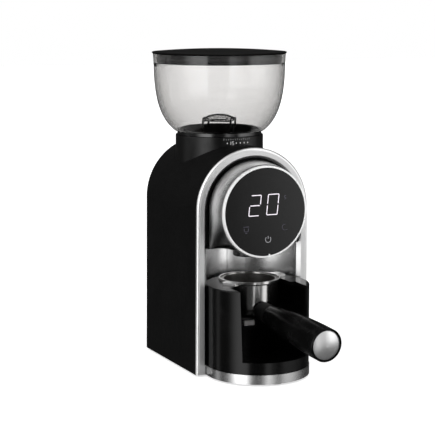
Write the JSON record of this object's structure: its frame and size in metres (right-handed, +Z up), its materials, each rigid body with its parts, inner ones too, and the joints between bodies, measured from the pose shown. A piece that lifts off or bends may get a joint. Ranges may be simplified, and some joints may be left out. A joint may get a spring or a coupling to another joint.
{
  "type": "burr coffee grinder",
  "caption": "Electric burr coffee grinder with a clear bean hopper, round touch display, grounds spout and a cradle holding a portafilter.",
  "frame": {"origin": "on the table, at the middle of the object's outline seen from above, which is the axis of the round base", "axes": "+Z up; +X to the right as the user faces the display; -Y towards the user, so the portafilter's handle points along -Y"},
  "size_m": [0.132, 0.2866, 0.305],
  "materials": {
    "black_shell": "satin black moulding",
    "black_collar": "satin black moulding",
    "black_trim": "matte black",
    "satin_silver": "satin silver",
    "brushed_silver": "brushed silver",
    "chrome_bezel": "bright polished ring",
    "bay_steel": "brushed steel",
    "display_glass": "black tinted display glass",
    "led_module": "display module",
    "circuit_board": "green circuit board",
    "electronics": "dark component cases",
    "black_gloss": "gloss black",
    "black_inner": "glass-filled black moulding",
    "screw_steel": "zinc plated steel",
    "burr_steel": "hardened ground steel",
    "gear_nylon": "natural nylon",
    "gear_brass": "brass",
    "motor_steel": "drawn steel can",
    "tab_metal": "plain sheet metal tab",
    "black_rubber": "rubber",
    "base_silver": "satin brushed band",
    "smoked_clear": "lightly smoked clear acrylic",
    "guard_clear": "clear acrylic",
    "guard_smoked": "dark smoked acrylic",
    "lid_black": "satin black",
    "gasket_clear": "soft silicone",
    "cradle_gloss": "gloss black",
    "polished_steel": "polished steel",
    "basket_steel": "pressed steel",
    "handle_black": "gloss black moulding",
    "cap_silver": "satin metal"
  },
  "bodies": {
    "grinder": {"body_shell": "black_shell", "rear_cover": "black_shell", "cover_screws": "screw_steel", "cord_gland": "black_rubber", "front_frame": "satin_silver", "frame_trim": "black_trim", "bay_liner": "bay_steel", "bay_ceiling": "black_trim", "head_block": "brushed_silver", "display_bezel": "chrome_bezel", "display_glass": "display_glass", "led_display": "led_module", "display_board": "circuit_board", "spout": "black_gloss", "chute": "black_inner", "collar": "black_collar", "chamber_housing": "black_inner", "gearbox_base": "black_inner", "gearbox_cover": "black_inner", "gearbox_screws": "screw_steel", "idler_axle": "screw_steel", "motor_can": "motor_steel", "main_board": "circuit_board", "board_parts": "electronics", "power_module": "electronics", "switch_body": "black_inner", "base_plate": "black_shell", "base_screws": "screw_steel", "base_tray": "black_gloss", "base_ring": "base_silver", "feet": "black_rubber", "lower_bearing": "screw_steel", "upper_bearing": "screw_steel"},
    "adjuster": {"adjust_ring": "black_collar"},
    "upper_burr_set": {"burr_carrier": "black_inner", "carrier_screws": "screw_steel", "upper_burr": "burr_steel"},
    "burr_spindle": {"drive_shaft": "screw_steel", "output_gear": "gear_nylon", "lower_burr": "burr_steel", "burr_nut": "screw_steel", "impeller": "black_inner"},
    "idler": {"idler_gear": "gear_nylon"},
    "rotor": {"motor_shaft": "screw_steel", "motor_pinion": "gear_brass", "motor_fan": "black_inner"},
    "hopper": {"hopper_bowl": "smoked_clear", "hopper_neck": "black_collar", "bean_guard": "guard_clear", "guard_frame": "guard_smoked"},
    "lid": {"lid": "lid_black", "lid_gasket": "gasket_clear"},
    "switch": {"switch_plunger": "tab_metal"},
    "cradle": {"cradle": "cradle_gloss"},
    "portafilter": {"portafilter_body": "polished_steel", "handle_ferrule": "black_trim", "handle_grip": "handle_black", "handle_ring": "handle_black", "handle_cap": "cap_silver"},
    "basket": {"filter_basket": "basket_steel"}
  },
  "joints": [
    {"name": "hopper_turn", "type": "hinge", "parent": "grinder", "child": "adjuster", "pos_m": [0, 0.07725, 0.222], "axis": [0, 0, 1], "range_deg": [-60, 60]},
    {"name": "upper_burr_lift", "type": "slide", "parent": "grinder", "child": "upper_burr_set", "axis": [0, 0, 1], "range_m": [-0.0004, 0.0004]},
    {"name": "hopper_lift", "type": "slide", "parent": "adjuster", "child": "hopper", "axis": [0, 0, 1], "range_m": [0, 0.06]},
    {"name": "lid_lift", "type": "slide", "parent": "hopper", "child": "lid", "axis": [0, 0, 1], "range_m": [0, 0.05]},
    {"name": "spindle_spin", "type": "hinge", "parent": "grinder", "child": "burr_spindle", "pos_m": [0, 0.07725, 0.19], "axis": [0, 0, 1], "continuous": true},
    {"name": "idler_spin", "type": "hinge", "parent": "grinder", "child": "idler", "pos_m": [-0.01999, 0.09053, 0.16], "axis": [0, 0, 1], "continuous": true},
    {"name": "rotor_spin", "type": "hinge", "parent": "grinder", "child": "rotor", "pos_m": [-0.00395, 0.0987, 0.12], "axis": [0, 0, 1], "continuous": true},
    {"name": "switch_press", "type": "slide", "parent": "grinder", "child": "switch", "axis": [0, 1, 0], "range_m": [0, 0.0025], "stiffness_N_per_m": 300},
    {"name": "cradle_pull", "type": "slide", "parent": "grinder", "child": "cradle", "axis": [0, -1, 0], "range_m": [0, 0.1]},
    {"name": "portafilter_pull", "type": "slide", "parent": "cradle", "child": "portafilter", "axis": [0, -1, 0], "range_m": [0, 0.1]},
    {"name": "basket_lift", "type": "slide", "parent": "portafilter", "child": "basket", "axis": [0, 0, 1], "range_m": [0, 0.02]}
  ],
  "couplings": [
    {"joint": "upper_burr_lift", "follows": "hopper_turn", "m_per_rad": 0.000318},
    {"joint": "idler_spin", "follows": "spindle_spin", "ratio": -4},
    {"joint": "rotor_spin", "follows": "spindle_spin", "ratio": 16}
  ]
}
